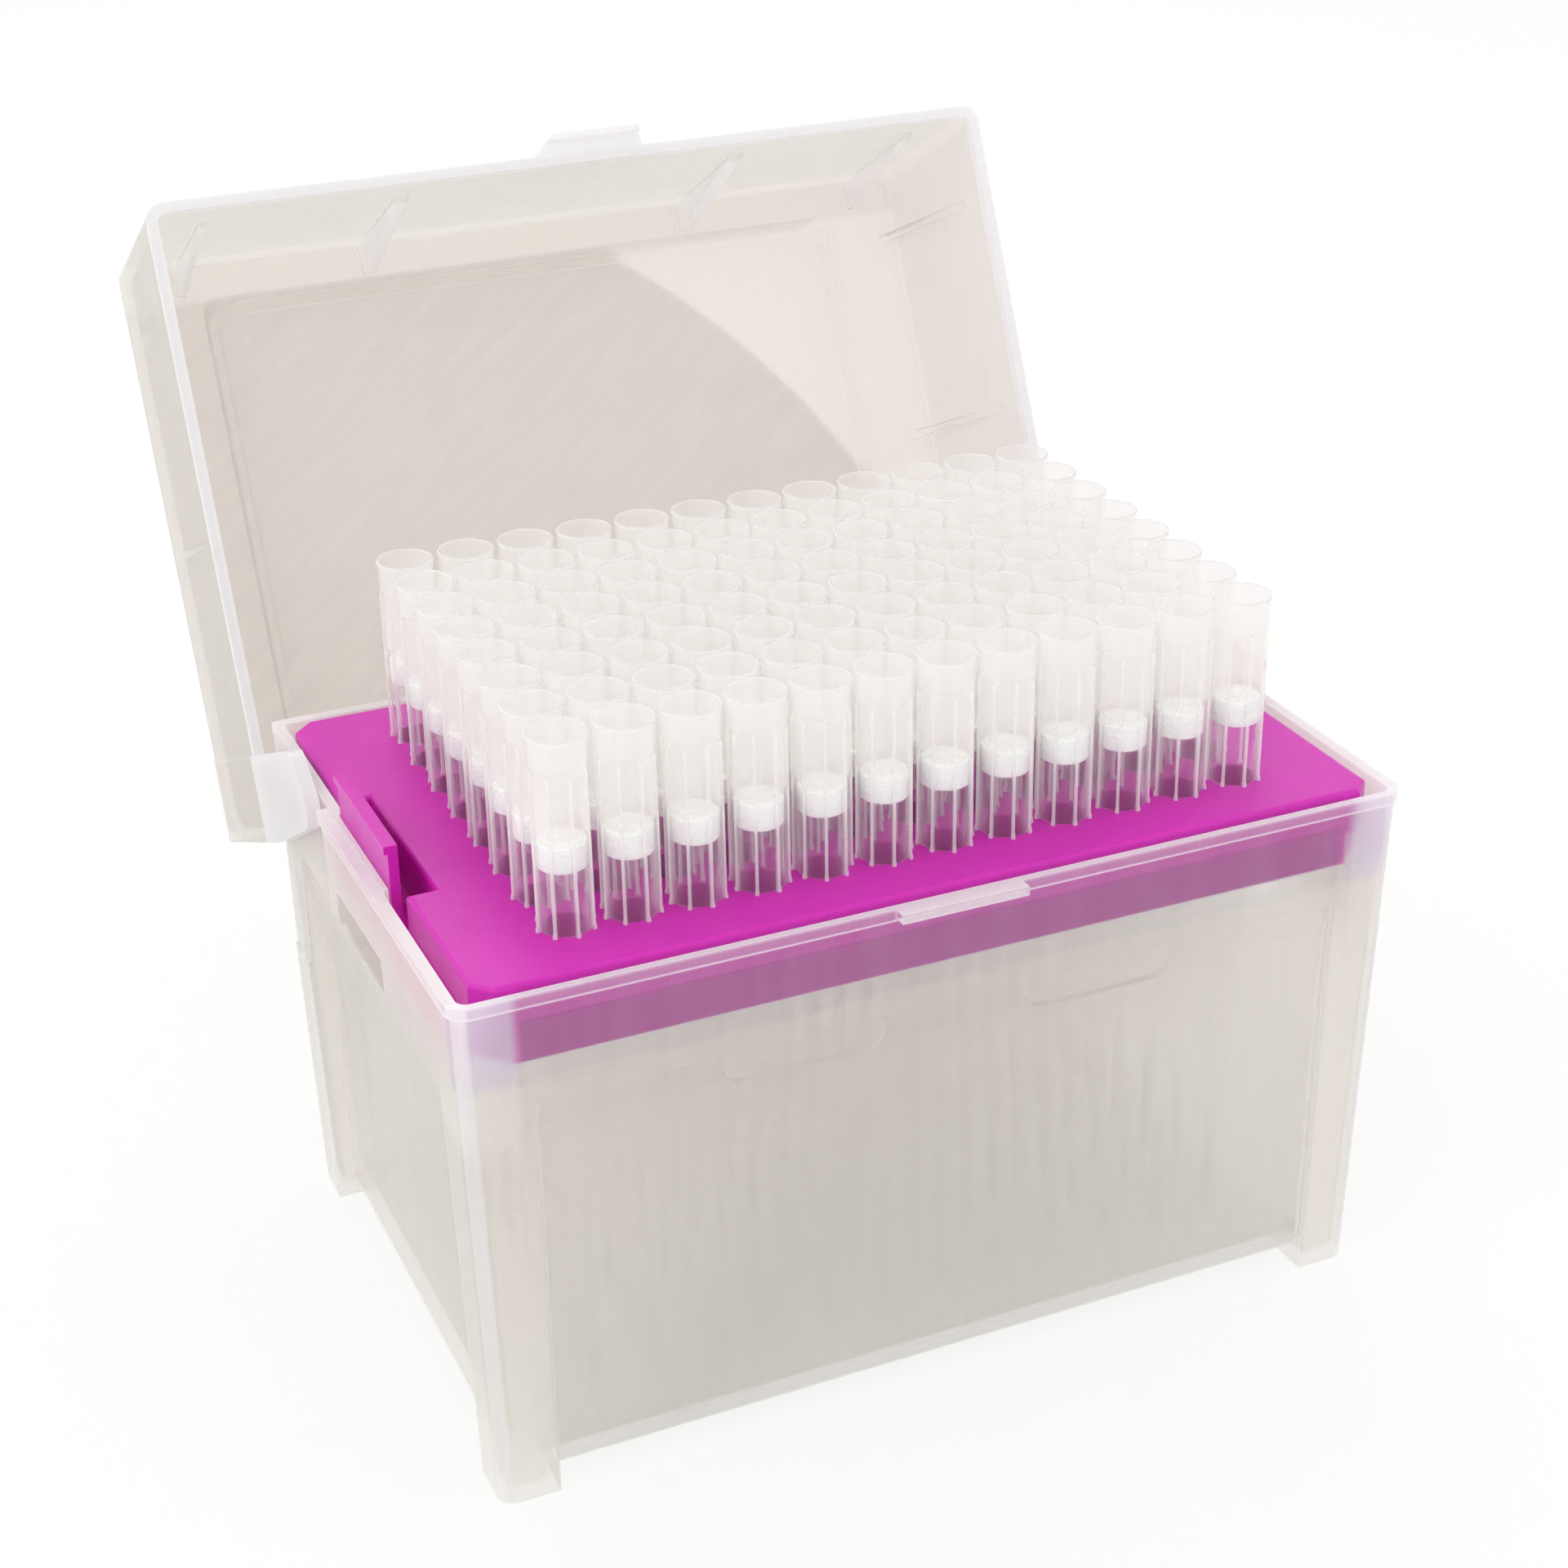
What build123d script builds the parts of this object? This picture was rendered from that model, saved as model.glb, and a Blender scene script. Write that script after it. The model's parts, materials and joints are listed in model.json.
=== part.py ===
from build123d import *
import os

# Box of filtered pipette tips, 12 columns by 8 rows, with its hinged lid open.
# Millimetres. +Z up, +Y towards the hinge, origin on the ground under the middle of the grid.

# Tip grid
PITCH = 9.0
COLUMNS = 12
ROWS = 8

# Heights above the ground
RIM_TOP = 78.7
TRAY_TOP = 79.5
LEDGE = 68.5
FLOOR_TOP = 5.5
WALL_FOOT = 4.0
TIP_END = 6.7
TIP_MOUTH = 107.0
FILTER_BOTTOM = 88.3
FILTER_TOP = 92.0

# Base shell
WALL = 1.5
RIM_HALF_X = 69.5
RIM_FRONT = -45.0
RIM_BACK = 46.9
RIM_HEIGHT = 1.7
TOP_HALF_X = 69.1
TOP_FRONT = -44.6
TOP_BACK = 46.3
FOOT_HALF_X = 67.2
FOOT_FRONT = -43.4
FOOT_BACK = 45.3
CORNER_R = 2.5
COLUMN_X = 58.8
COLUMN_FRONT = -35.0
COLUMN_BACK = 36.5
# What each recess takes off the outside, up the wall from the ground: (x, z), then (y, z) twice
SIDE_RECESS = [(64.6, -1), (64.6, 36.5), (65.1, 44.5), (66.5, 57.5), (67.9, 62.5)]
SIDE_RECESS_TOP = 64.5
FRONT_RECESS = [(-42.2, -1), (-42.4, 44), (-42.9, 58), (-45.2, 65.5)]
BACK_RECESS = [(42.2, -1), (42.4, 44), (43.6, 50), (46.9, 57.5)]
# The space inside: half its width, its front and its back
MOUTH_IN = (67.9, -43.8, 45.1)
WELL_TOP = (64.4, -41.9, 41.9)
WELL_FOOT = (63.0, -40.7, 40.7)
WELL_R = 2.0
BOSS_X = 22.0
BOSS_HALF = 11.6
BOSS_BOTTOM = 58.0
BOSS_TOP = 67.0
BOSS_BACK = -42.0
BOSS_R = 3.0
CATCH_HALF_X = 9.2
CATCH_OUT = 1.9
CATCH_HEIGHT = 1.3
WINDOW_HALF_Y = 11.0
WINDOW_BOTTOM = 58.5
WINDOW_TOP = 68.3
SLOT_OUT = 67.2
PAD_OUT = 68.4
CLIP_PAD_STEP = 67.8
PIVOT_PAD_IN = 66.2
PIVOT_PAD_BACK = 45.2

# Tray
TRAY_HALF_X = 65.7
TRAY_HALF_Y = 43.2
BAND_PROUD = 0.25
BAND_TOP = 74.0
TRAY_CUT = 2.7
TRAY_ROUND = 0.8
BAND_CUT = 5.0
SKIRT_CUT = 4.4
TRAY_WALL = 1.5
PLATE = 2.5
HOLE_R = 3.3
SLEEVE_R = 4.2
SLEEVE_DROP = 6.0
NOTCH_X = 61.7
NOTCH_HALF_Y = 15.0
CLIP_HALF_Y = 12.0
CLIP_IN = 65.5
CLIP_OUT = 66.9
CLIP_TOP = 85.4
CLIP_BOTTOM = 70.2
CLIP_LIP = 0.5
CLIP_LIP_HEIGHT = 1.2
CLIP_ROOT = [(62.7, 71.5), (65.7, 71.5), (65.7, 74.5)]

# Tip
COLLAR_R = 3.55
MOUTH_R = 4.05
RIB_R = 4.2
RIB_WIDTH = 0.7
RIBS = 8
SEAT_R = 3.1
BORE_R = 2.9
FILTER_R = 2.88
SEAT_STEP = 0.2
PLAIN_BAND = 4.5
LEAD_IN = 3.5
SHANK_R = 3.15
# The taper below the tray, (radius, height) outside and inside, from the narrow end up
TAPER_OUTSIDE = [(0.55, 6.7), (1.35, 28.7), (2.75, 57.0), (3.05, 63.0)]
TAPER_INSIDE = [(0.25, 6.7), (0.95, 28.7), (2.3, 57.0), (2.6, 80.0)]

# Hinge and lid; the lid is drawn closed and then swung open
HINGE_Y = 42.9
HINGE_Z = 71.0
OPEN_DEG = 115.0
SWEEP_R = 28.5
INSET_X = 67.7
PIVOT_R = 2.5
PIVOT_HOLE_R = 2.58
PIVOT_IN = 65.95
LID_BOTTOM = 78.9
LID_TOP = 116.8
LID_WALL = 1.5
LID_HALF_X = 69.7
LID_HALF_X_TOP = 69.2
LID_FRONT = -45.0
LID_FRONT_TOP = -42.5
LID_BACK = 52.1
LID_R = 2.6
PLATEAU_RISE = 3.5
PLATEAU_INSET = 12.2
PLATEAU_FRONT = -36.0
PLATEAU_BACK = 40.0
PLATEAU_DRAFT = 1.5
PLATEAU_R = 3.0
EAR_IN = 68.0
EAR_OUT = 70.1
EAR_FRONT = 38.8
EAR_FOOT = [(38.8, 50.8), (49.7, 44.5), (51.9, 67.8)]
EAR_ROUND = 3.0
RIB_BOTTOM = 85.9
FRONT_RIBS = [(60.0, 1.2), (28.5, 2.4)]
SIDE_RIBS = [-30.0, 5.0]
SIDE_RIB_WIDTH = 1.2
TAB_ROOT = (-7.8, 10.2)
TAB_FRONT = (-4.6, 9.8)
TAB_OUT = 3.2
TAB_THICK = 1.4
TAB_ROUND = 0.9
TAB_LIP = 0.9
TAB_LIP_DROP = 1.2
GUSSETS = [-4.2, 1.6, 7.4]
GUSSET_WIDTH = 1.0
GUSSET_RISE = 4.1
FAR = 150.0


def block(x0, x1, y0, y1, z0, z1):
    """A box between two opposite corners."""
    middle = Pos((x0 + x1) / 2, (y0 + y1) / 2, (z0 + z1) / 2)
    return middle * Box(x1 - x0, y1 - y0, z1 - z0)


def section(half_x, y0, y1, z, radius):
    """A rounded rectangle lying at height z, as a face to loft."""
    outline = RectangleRounded(2 * half_x, y1 - y0, radius)
    return (Pos(0, (y0 + y1) / 2, z) * outline).face()


def loft_block(bottom, top):
    """A straight loft between two sections, each (half_x, y0, y1, z, radius)."""
    return loft([section(*bottom), section(*top)], ruled=True)


def prism_x(points, x0, x1, radius=0.0, rounded=()):
    """A (y, z) outline extruded from x0 to x1, with the listed corners rounded."""
    outline = [Vector(x0, y, z) for y, z in points]
    face = Face(Wire.make_polygon(outline))
    if rounded:
        wanted = [outline[i] for i in rounded]
        corners = [v for v in face.vertices() if min((v.center() - w).length for w in wanted) < 1e-3]
        face = face.fillet_2d(radius, corners)
    return extrude(face, x1 - x0, dir=(1, 0, 0))


def prism_y(points, y0, y1):
    """An (x, z) outline extruded from y0 to y1."""
    face = Face(Wire.make_polygon([Vector(x, y0, z) for x, z in points]))
    return extrude(face, y1 - y0, dir=(0, 1, 0))


def both_ends(shape):
    """A shape and its mirror image across the middle plane x = 0."""
    return shape + mirror(shape, about=Plane.YZ)


def one_solid(shape):
    """The single solid in a boolean result."""
    solids = shape.solids()
    if len(solids) != 1:
        raise ValueError(f"expected one solid, found {len(solids)}")
    return solids[0]


def side_panel_cut():
    """What is taken off the outside of the +X wall between its corner columns."""
    slope_out = RIM_HALF_X + 2.5
    outline = SIDE_RECESS + [(slope_out, SIDE_RECESS_TOP), (slope_out, -1)]
    return prism_y(outline, COLUMN_FRONT, COLUMN_BACK)


def front_panel_cut():
    """What is taken off the outside of the front wall between its corner columns."""
    outline = FRONT_RECESS + [(-FAR, FRONT_RECESS[-1][1]), (-FAR, -1)]
    return prism_x(outline, -COLUMN_X, COLUMN_X)


def back_panel_cut():
    """What is taken off the outside of the back wall below its upper band."""
    outline = BACK_RECESS + [(FAR, BACK_RECESS[-1][1]), (FAR, -1)]
    return prism_x(outline, -COLUMN_X, COLUMN_X)


def base_outside():
    """The base's outer shape: drafted block, rim lip, recessed walls and feet."""
    foot = (FOOT_HALF_X, FOOT_FRONT, FOOT_BACK, 0, CORNER_R)
    top = (TOP_HALF_X, TOP_FRONT, TOP_BACK, RIM_TOP, CORNER_R)
    shape = loft_block(foot, top)
    rim_face = section(RIM_HALF_X, RIM_FRONT, RIM_BACK, RIM_TOP - RIM_HEIGHT, CORNER_R + 0.4)
    shape += extrude(rim_face, RIM_HEIGHT, dir=(0, 0, 1))
    shape -= both_ends(side_panel_cut())
    shape -= front_panel_cut()
    shape -= back_panel_cut()
    shape -= block(-COLUMN_X, COLUMN_X, -FAR, FAR, -1, WALL_FOOT)
    shape -= block(-FAR, FAR, COLUMN_FRONT, COLUMN_BACK, -1, WALL_FOOT)
    return shape


def base_hollow():
    """The space inside the base: above the ledge, below it, and down the four columns."""
    half_x, front, back = MOUTH_IN
    above = block(-half_x, half_x, front, back, LEDGE, RIM_TOP + 1)
    above = fillet(above.edges().filter_by(Axis.Z), CORNER_R - 1)
    well = loft_block((*WELL_FOOT, FLOOR_TOP, WELL_R), (*WELL_TOP, LEDGE, WELL_R))
    deep = loft_block(
        (FOOT_HALF_X - WALL, FOOT_FRONT + WALL, FOOT_BACK - WALL, WALL, CORNER_R - WALL),
        (TOP_HALF_X - WALL, TOP_FRONT + WALL, TOP_BACK - WALL, LEDGE, CORNER_R - WALL),
    )
    front_corner = block(COLUMN_X + WALL, FAR, -FAR, COLUMN_FRONT - WALL, 0, LEDGE)
    back_corner = block(COLUMN_X + WALL, FAR, COLUMN_BACK + WALL, FAR, 0, LEDGE - WALL)
    return above + well + (deep & both_ends(front_corner + back_corner))


def ear_recess():
    """The round recess that lets the lid's +X ear swing past the base."""
    disc = Pos(INSET_X, HINGE_Y, HINGE_Z) * Rot(0, 90, 0)
    return disc * Cylinder(SWEEP_R, 10, align=(Align.CENTER, Align.CENTER, Align.MIN))


def side_window():
    """The window through the +X wall under the ledge, with the slot through the ledge above it."""
    inside = WELL_FOOT[0]
    window = block(inside, FAR, -WINDOW_HALF_Y, WINDOW_HALF_Y, WINDOW_BOTTOM, WINDOW_TOP)
    return window + block(inside, SLOT_OUT, -WINDOW_HALF_Y, WINDOW_HALF_Y, WINDOW_BOTTOM, LEDGE + 1)


def base_pads():
    """Thicker wall inside the +X rim: the clip's pad, and the pad that holds the pivot."""
    clip_pad = block(SLOT_OUT, PAD_OUT, -CLIP_HALF_Y, CLIP_HALF_Y, LEDGE, RIM_TOP)
    clip_pad += block(SLOT_OUT, CLIP_PAD_STEP, -CLIP_HALF_Y, CLIP_HALF_Y, LEDGE, RIM_TOP + 0.5)
    pivot_pad_front = HINGE_Y - SWEEP_R - WALL
    return clip_pad + block(PIVOT_PAD_IN, PAD_OUT, pivot_pad_front, PIVOT_PAD_BACK, LEDGE - 1, RIM_TOP)


def front_bosses():
    """The two flat bosses with rounded lower corners that run down from the front wall's band."""
    bosses = Part()
    for middle in (-BOSS_X, BOSS_X):
        x0, x1 = middle - BOSS_HALF, middle + BOSS_HALF
        plate = block(x0, x1, TOP_FRONT + 0.3, BOSS_BACK, BOSS_BOTTOM, BOSS_TOP)
        lower = plate.faces().sort_by(Axis.Z)[0].edges().filter_by(Axis.Y)
        bosses += fillet(lower, BOSS_R)
    return bosses


def make_base():
    """The tip box's lower half, one moulding."""
    shape = base_outside() - base_hollow() + both_ends(base_pads())
    catch_front = RIM_FRONT - CATCH_OUT
    shape += block(-CATCH_HALF_X, CATCH_HALF_X, catch_front, RIM_FRONT + 0.5, RIM_TOP - CATCH_HEIGHT, RIM_TOP)
    shape += front_bosses()
    shape -= both_ends(ear_recess())
    shape -= both_ends(side_window())
    pivot_hole = Pos(RIM_HALF_X, HINGE_Y, HINGE_Z) * Rot(0, 90, 0) * Cylinder(PIVOT_HOLE_R, 12)
    return one_solid(shape - both_ends(pivot_hole))


def tray_outline(half_x, half_y, chamfer_size, notch_x, notch_y, z0, z1):
    """The tray's plan shape between two heights, with cut corners and a notch at each end."""
    body = block(-half_x, half_x, -half_y, half_y, z0, z1)
    body = chamfer(body.edges().filter_by(Axis.Z), chamfer_size)
    return body - both_ends(block(notch_x, half_x + 1, -notch_y, notch_y, z0 - 1, z1 + 1))


def tray_clip():
    """The +X spring clip: web, upright finger plate with its lip, and the thick root."""
    web = block(NOTCH_X - 1, CLIP_OUT, -CLIP_HALF_Y, CLIP_HALF_Y, CLIP_BOTTOM, CLIP_BOTTOM + TRAY_WALL)
    upright = block(CLIP_IN, CLIP_OUT, -CLIP_HALF_Y, CLIP_HALF_Y, CLIP_BOTTOM, CLIP_TOP)
    lip_bottom = CLIP_TOP - CLIP_LIP_HEIGHT
    lip = block(CLIP_OUT, CLIP_OUT + CLIP_LIP, -CLIP_HALF_Y, CLIP_HALF_Y, lip_bottom, CLIP_TOP)
    return web + upright + lip + prism_y(CLIP_ROOT, -CLIP_HALF_Y, CLIP_HALF_Y)


def grid_points():
    """The centre of each tip as (x, y), column by column from -X, front row first."""
    for column in range(COLUMNS):
        for row in range(ROWS):
            yield (column - (COLUMNS - 1) / 2) * PITCH, (row - (ROWS - 1) / 2) * PITCH


def make_tray():
    """The carrier plate with its skirt, holes, sleeves and two clips, one moulding."""
    upper = tray_outline(TRAY_HALF_X, TRAY_HALF_Y, TRAY_CUT, NOTCH_X, NOTCH_HALF_Y, BAND_TOP - 1, TRAY_TOP)
    upper = fillet(upper.faces().sort_by(Axis.Z)[-1].edges(), TRAY_ROUND)
    band_x = TRAY_HALF_X + BAND_PROUD
    band_y = TRAY_HALF_Y + BAND_PROUD
    shape = upper + tray_outline(band_x, band_y, BAND_CUT, NOTCH_X, NOTCH_HALF_Y - 0.4, LEDGE, BAND_TOP)
    inner_x = band_x - TRAY_WALL
    inner_y = band_y - TRAY_WALL
    inner_notch = NOTCH_X - TRAY_WALL
    inner_half = NOTCH_HALF_Y + TRAY_WALL
    shape -= tray_outline(inner_x, inner_y, SKIRT_CUT, inner_notch, inner_half, LEDGE - 1, TRAY_TOP - PLATE)
    sleeves = Part()
    holes = Part()
    for x, y in grid_points():
        sleeves += Pos(x, y, TRAY_TOP - PLATE - SLEEVE_DROP / 2 + 0.25) * Cylinder(SLEEVE_R, SLEEVE_DROP + 0.5)
        holes += Pos(x, y, TRAY_TOP - 6) * Cylinder(HOLE_R, 16)
    return one_solid(shape + sleeves + both_ends(tray_clip()) - holes)


def make_tip():
    """One tip standing on the tray at the grid's origin: ribbed collar, bore and long taper."""
    band_z = TIP_MOUTH - PLAIN_BAND
    seat_bottom = FILTER_TOP + SEAT_STEP
    outside = TAPER_OUTSIDE + [
        (SHANK_R, TRAY_TOP),
        (COLLAR_R, TRAY_TOP),
        (COLLAR_R, band_z),
        (COLLAR_R + 0.2, band_z),
        (MOUTH_R - 0.1, TIP_MOUTH - 0.8),
        (MOUTH_R, TIP_MOUTH - 0.5),
        (MOUTH_R, TIP_MOUTH),
    ]
    inside = [
        (SEAT_R + 0.5, TIP_MOUTH),
        (SEAT_R, TIP_MOUTH - LEAD_IN),
        (SEAT_R, seat_bottom),
        (BORE_R, seat_bottom),
        (BORE_R, FILTER_BOTTOM),
    ]
    outline = [Vector(r, 0, z) for r, z in outside + inside + TAPER_INSIDE[::-1]]
    shape = revolve(Face(Wire.make_polygon(outline)), Axis.Z)
    rib = block(COLLAR_R - 0.2, RIB_R, -RIB_WIDTH / 2, RIB_WIDTH / 2, TRAY_TOP, band_z + 0.2)
    for index in range(RIBS):
        shape += Rot(0, 0, (index + 0.5) * 360 / RIBS) * rib
    return one_solid(shape)


def make_filter():
    """One filter plug in the tip at the grid's origin."""
    height = FILTER_TOP - FILTER_BOTTOM
    plug = Cylinder(FILTER_R, height, align=(Align.CENTER, Align.CENTER, Align.MIN))
    return Pos(0, 0, FILTER_BOTTOM) * chamfer(plug.edges().filter_by(GeomType.CIRCLE), 0.15)


def tip_columns(single):
    """Eight copies of a solid along each of the twelve columns, as one compound a column."""
    places = list(grid_points())
    for column in range(COLUMNS):
        line = places[column * ROWS:(column + 1) * ROWS]
        yield Compound(children=[single.moved(Pos(x, y, 0)) for x, y in line])


def plateau(inset, z0, z1):
    """The raised middle of the lid's top between two heights, drawn in by an inset."""
    foot_x = LID_HALF_X_TOP - PLATEAU_INSET - inset
    foot = (foot_x, PLATEAU_FRONT + inset, PLATEAU_BACK - inset, z0, PLATEAU_R)
    draft = PLATEAU_DRAFT
    top = (foot_x - draft, PLATEAU_FRONT + inset + draft, PLATEAU_BACK - inset - draft, z1, PLATEAU_R)
    return loft_block(foot, top)


def lid_shell():
    """The closed lid's drafted cover with its raised plateau, open below."""
    outer = loft_block(
        (LID_HALF_X, LID_FRONT, LID_BACK, LID_BOTTOM, LID_R),
        (LID_HALF_X_TOP, LID_FRONT_TOP, LID_BACK, LID_TOP, LID_R),
    )
    wall = LID_WALL
    hollow = loft_block(
        (LID_HALF_X - wall, LID_FRONT + wall, LID_BACK - wall, LID_BOTTOM - 0.01, LID_R - 1),
        (LID_HALF_X_TOP - wall, LID_FRONT_TOP + wall, LID_BACK - wall, LID_TOP - wall, LID_R - 1),
    )
    raised = plateau(0, LID_TOP - 0.5, LID_TOP + PLATEAU_RISE)
    pocket = plateau(wall, LID_TOP - wall - 0.5, LID_TOP + PLATEAU_RISE - wall)
    return outer + raised - hollow - pocket


def lid_ribs():
    """The tapered stiffening ribs inside the closed lid's front and side walls."""
    high = LID_TOP - LID_WALL + 0.3
    front = [(-43.6, RIB_BOTTOM), (-42.7, RIB_BOTTOM), (-36.0, high), (-41.5, high)]
    ribs = Part()
    for middle, width in FRONT_RIBS:
        ribs += both_ends(prism_x(front, middle - width / 2, middle + width / 2))
    side = [(68.9, RIB_BOTTOM), (67.7, RIB_BOTTOM), (64.0, high), (68.2, high)]
    for middle in SIDE_RIBS:
        ribs += both_ends(prism_y(side, middle - SIDE_RIB_WIDTH / 2, middle + SIDE_RIB_WIDTH / 2))
    return ribs


def lid_ear():
    """The +X hinge ear of the closed lid, with its pivot."""
    outline = [
        (EAR_FRONT, LID_TOP - 4),
        *EAR_FOOT,
        (LID_BACK, 73.0),
        (LID_BACK, LID_TOP - 4),
    ]
    plate = prism_x(outline, EAR_IN, EAR_OUT, EAR_ROUND, rounded=(1, 2))
    pivot = Pos(PIVOT_IN, HINGE_Y, HINGE_Z) * Rot(0, 90, 0)
    pin = Cylinder(PIVOT_R, EAR_IN - PIVOT_IN + 0.5, align=(Align.CENTER, Align.CENTER, Align.MIN))
    return plate + pivot * pin


def lid_tab():
    """The finger tab on the closed lid's front rim, with one slanted end, its lip and three gussets."""
    front = LID_FRONT - TAB_OUT
    low = LID_BOTTOM + 0.3
    high = low + TAB_THICK
    inner = LID_FRONT + 0.6
    plan = [(TAB_ROOT[0], inner), (TAB_ROOT[0], LID_FRONT), (TAB_FRONT[0], front)]
    plan += [(TAB_FRONT[1], front), (TAB_ROOT[1], LID_FRONT), (TAB_ROOT[1], inner)]
    outline = Polyline(*[(x, y, low - TAB_LIP_DROP) for x, y in plan], close=True)
    tab = extrude(make_face(outline), TAB_LIP_DROP + TAB_THICK, dir=(0, 0, 1))
    corners = [edge for edge in tab.edges().filter_by(Axis.Z) if edge.center().Y < front + 0.1]
    tab = fillet(corners, TAB_ROUND)
    tab -= block(-FAR, FAR, front + TAB_LIP, inner + 1, low - TAB_LIP_DROP - 1, low)
    foot = high - 0.2
    gusset = [(LID_FRONT + 0.4, foot), (front + 0.4, foot), (LID_FRONT + 0.7, foot + GUSSET_RISE)]
    for middle in GUSSETS:
        tab += prism_x(gusset, middle - GUSSET_WIDTH / 2, middle + GUSSET_WIDTH / 2)
    return tab


def make_lid():
    """The lid, one moulding, swung open about its hinge."""
    closed = one_solid(lid_shell() + lid_ribs() + both_ends(lid_ear()) + lid_tab())
    hinge = Axis((0, HINGE_Y, HINGE_Z), (1, 0, 0))
    return closed.rotate(hinge, -OPEN_DEG)


def main():
    """Write one STEP file for each node."""
    os.makedirs("parts", exist_ok=True)
    nodes = {"box_base": make_base(), "lid": make_lid(), "tip_tray": make_tray()}
    for index, column in enumerate(tip_columns(make_tip()), start=1):
        nodes[f"tips_column_{index:02d}"] = column
    for index, column in enumerate(tip_columns(make_filter()), start=1):
        nodes[f"filters_column_{index:02d}"] = column
    for name, shape in nodes.items():
        export_step(shape, f"parts/{name}.step")


main()
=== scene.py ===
"""The looks of an open box of filtered pipette tips.

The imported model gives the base, the lid and the carrier plate, which keep their meshes and are
dressed here. The tips and their filter plugs are modelled again in finer detail, one column at a
time, and ride on the base. Lengths are in metres.
"""

import json
import logging
import math
from dataclasses import dataclass, field
from enum import Enum
from typing import Any, Iterable

import bmesh
import bpy
from mathutils import Matrix, Vector


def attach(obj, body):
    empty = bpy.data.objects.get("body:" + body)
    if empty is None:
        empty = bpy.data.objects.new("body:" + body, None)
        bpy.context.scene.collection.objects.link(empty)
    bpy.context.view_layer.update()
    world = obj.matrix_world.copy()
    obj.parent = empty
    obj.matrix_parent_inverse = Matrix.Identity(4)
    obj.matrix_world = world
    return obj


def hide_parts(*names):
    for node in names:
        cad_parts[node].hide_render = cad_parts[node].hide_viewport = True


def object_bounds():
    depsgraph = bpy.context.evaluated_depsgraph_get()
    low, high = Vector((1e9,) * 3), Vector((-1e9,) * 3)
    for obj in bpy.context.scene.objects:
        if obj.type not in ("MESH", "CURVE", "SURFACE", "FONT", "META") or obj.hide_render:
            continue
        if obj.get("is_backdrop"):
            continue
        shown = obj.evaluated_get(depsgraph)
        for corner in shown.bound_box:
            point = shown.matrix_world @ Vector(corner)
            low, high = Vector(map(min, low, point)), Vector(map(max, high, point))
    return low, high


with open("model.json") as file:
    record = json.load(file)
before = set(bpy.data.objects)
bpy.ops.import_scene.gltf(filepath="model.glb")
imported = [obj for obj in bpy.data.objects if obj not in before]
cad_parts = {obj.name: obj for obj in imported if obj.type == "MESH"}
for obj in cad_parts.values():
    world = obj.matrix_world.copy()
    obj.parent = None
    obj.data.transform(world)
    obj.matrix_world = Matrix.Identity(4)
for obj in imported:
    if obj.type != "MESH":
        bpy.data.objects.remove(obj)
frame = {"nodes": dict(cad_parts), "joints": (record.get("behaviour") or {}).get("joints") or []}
CAD_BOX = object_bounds()

LOG = logging.getLogger("tip_box")
MM = 0.001
BASE_BODY = "base"
HAZE = "haze"
HINGE = "lid_hinge"
WHITE = (1.0, 1.0, 1.0, 1.0)
PLASTIC_IOR = 1.49
NOISE_LOW = 0.3
NOISE_HIGH = 0.7
DEEPER = 0.93
TRACING = {
    "max_bounces": 9,
    "diffuse_bounces": 5,
    "glossy_bounces": 3,
    "transmission_bounces": 6,
    "transparent_max_bounces": 96,
    "adaptive_threshold": 0.35,
}
Pair = tuple[float, float]
Triple = tuple[float, float, float]
Colour = Triple


class Slot(Enum):
    """The record's material slots of the new pieces."""

    TIP = "tip_plastic"
    PLUG = "filter_plug"


class Node(Enum):
    """The CAD nodes that keep their own mesh."""

    BASE = "box_base"
    LID = "lid"
    TRAY = "tip_tray"


# ---------------------------------------------------------------- shader writing


@dataclass(frozen=True)
class Place:
    """The sockets that give a point's place on a piece."""

    x: bpy.types.NodeSocket
    y: bpy.types.NodeSocket
    z: bpy.types.NodeSocket


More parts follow.
